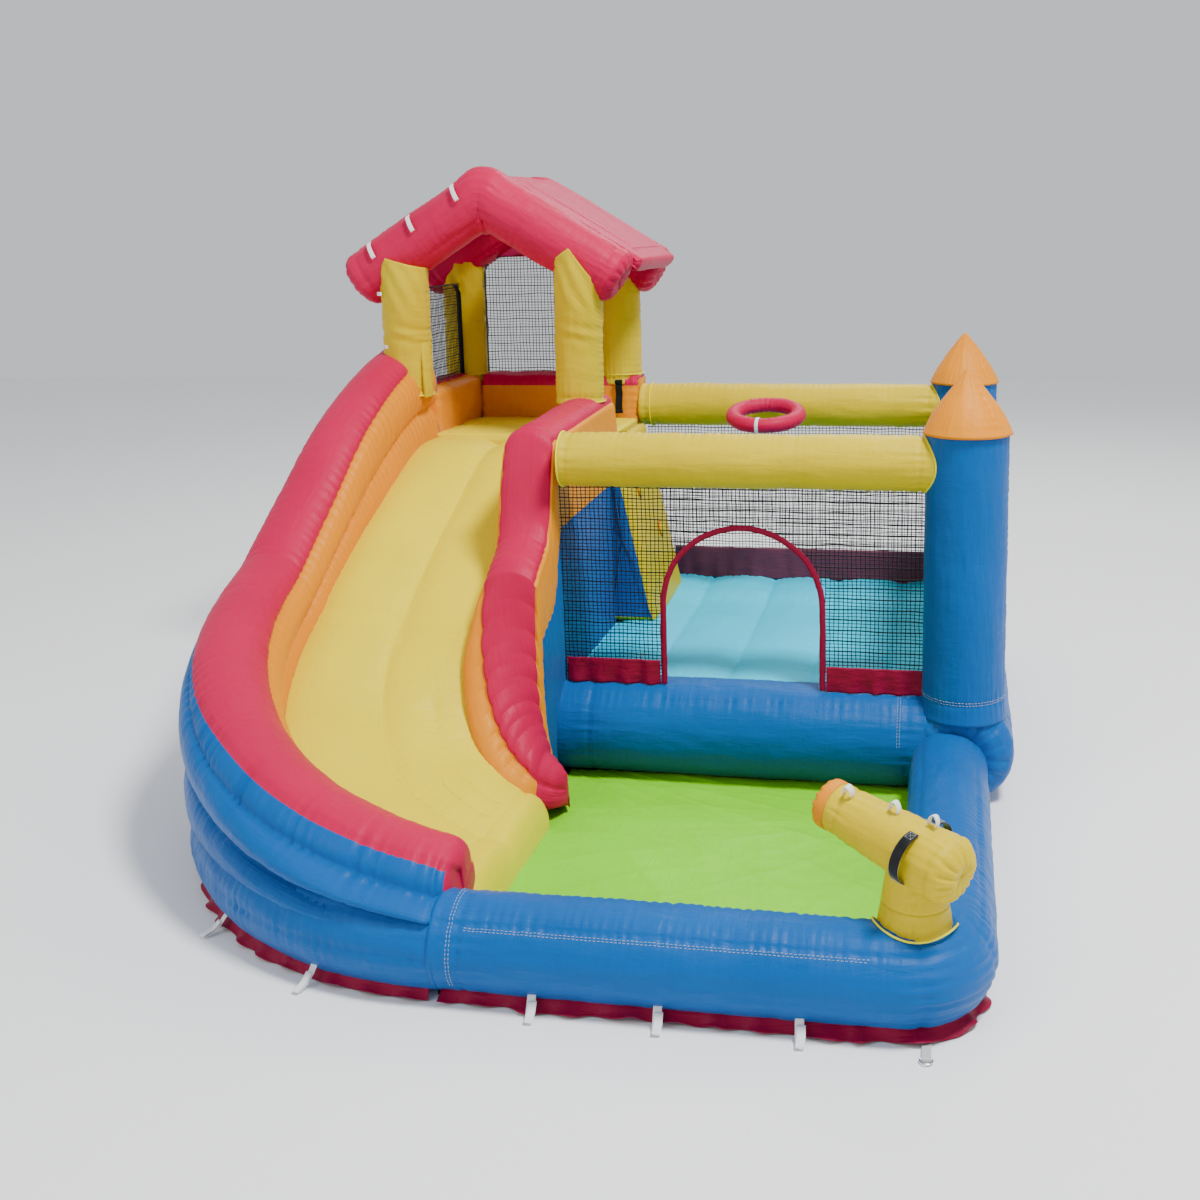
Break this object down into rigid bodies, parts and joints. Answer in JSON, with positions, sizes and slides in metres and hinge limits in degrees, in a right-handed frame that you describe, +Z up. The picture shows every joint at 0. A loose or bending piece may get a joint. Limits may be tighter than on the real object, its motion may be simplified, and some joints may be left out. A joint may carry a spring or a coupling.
{
  "type": "inflatable bounce house",
  "caption": "Inflatable bounce house with a netted room, roofed climbing tower, curved slide, splash pool and swivelling water cannon.",
  "frame": {"origin": "centre of the bounding box at ground level, under the ground sheet", "axes": "+Z up, -Y from the bounce room towards the splash pool, +X from the slide towards the pool tube with the water cannon"},
  "size_m": [2.9242, 3.8414, 2.3663],
  "materials": {
    "blue_fabric": "woven",
    "red_fabric": "woven",
    "yellow_fabric": "woven",
    "bed_fabric": "woven",
    "orange_fabric": "woven",
    "cyan_fabric": "woven",
    "green_fabric": "woven",
    "maroon_fabric": "woven",
    "netting": "woven",
    "webbing": "woven",
    "white_webbing": "woven",
    "baffle_fabric": "woven",
    "steel": "bright wire"
  },
  "bodies": {
    "house": {"anchor_strap": "white_webbing", "base_tube_back": "blue_fabric", "base_tube_front": "blue_fabric", "base_tube_right": "blue_fabric", "beam_back": "yellow_fabric", "beam_front": "yellow_fabric", "beam_right": "yellow_fabric", "bounce_floor": "cyan_fabric", "cannon_post": "yellow_fabric", "climb_hold_1": "yellow_fabric", "climb_hold_2": "yellow_fabric", "climbing_ramp": "yellow_fabric", "column_back": "blue_fabric", "column_front": "blue_fabric", "cone_back": "orange_fabric", "cone_front": "orange_fabric", "entrance_trim": "maroon_fabric", "floor_baffle_1": "baffle_fabric", "floor_baffle_2": "baffle_fabric", "floor_baffle_3": "baffle_fabric", "floor_baffle_4": "baffle_fabric", "gable_panel_back": "red_fabric", "ground_sheet": "maroon_fabric", "inflation_sleeve": "blue_fabric", "net_back": "netting", "net_band_back": "maroon_fabric", "net_front": "netting", "net_right": "netting", "net_skirt_left": "maroon_fabric", "net_skirt_right": "maroon_fabric", "platform_wall_back": "orange_fabric", "platform_wall_left": "orange_fabric", "pool_floor": "green_fabric", "pool_tube_front": "blue_fabric", "pool_tube_right": "blue_fabric", "roof_gable_back": "red_fabric", "roof_gable_front": "red_fabric", "roof_pad_left": "red_fabric", "roof_pad_right": "red_fabric", "slide_base_tube": "blue_fabric", "slide_bed": "bed_fabric", "slide_body": "blue_fabric", "slide_inner_wall": "red_fabric", "slide_outer_wall": "red_fabric", "tower_base": "blue_fabric", "tower_platform": "bed_fabric", "tower_post_back_left": "yellow_fabric", "tower_post_back_right": "yellow_fabric", "tower_post_front_left": "yellow_fabric", "tower_post_front_right": "yellow_fabric", "window_net_back": "netting", "window_net_left": "netting"},
    "cannon_neck": {"cannon_neck": "yellow_fabric"},
    "cannon": {"cannon_barrel": "yellow_fabric", "cannon_tip": "orange_fabric", "cannon_handle_left": "webbing", "cannon_handle_right": "webbing"},
    "hoop": {"hoop_ring": "red_fabric", "hoop_tab": "red_fabric"},
    "d_ring": {"anchor_d_ring": "steel"}
  },
  "joints": [
    {"name": "cannon_turn", "type": "hinge", "parent": "house", "child": "cannon_neck", "pos_m": [1.1426, -1.6793, 0.335], "axis": [0, 0, 1], "range_deg": [-30, 30], "stiffness_Nm_per_rad": 1},
    {"name": "cannon_tilt", "type": "hinge", "parent": "cannon_neck", "child": "cannon", "pos_m": [1.1426, -1.6793, 0.472], "axis": [0.5651, 0.825, 0], "range_deg": [-12, 12], "stiffness_Nm_per_rad": 3, "springref_deg": 3.44},
    {"name": "hoop_fold", "type": "hinge", "parent": "house", "child": "hoop", "pos_m": [0.3746, 1.4057, 1.276], "axis": [1, 0, 0], "range_deg": [-25, 40], "stiffness_Nm_per_rad": 2, "springref_deg": -4.58},
    {"name": "d_ring_swing", "type": "hinge", "parent": "house", "child": "d_ring", "pos_m": [1.17959, -1.8963, 0.0058], "axis": [-1, 0, 0], "range_deg": [0, 150]}
  ]
}
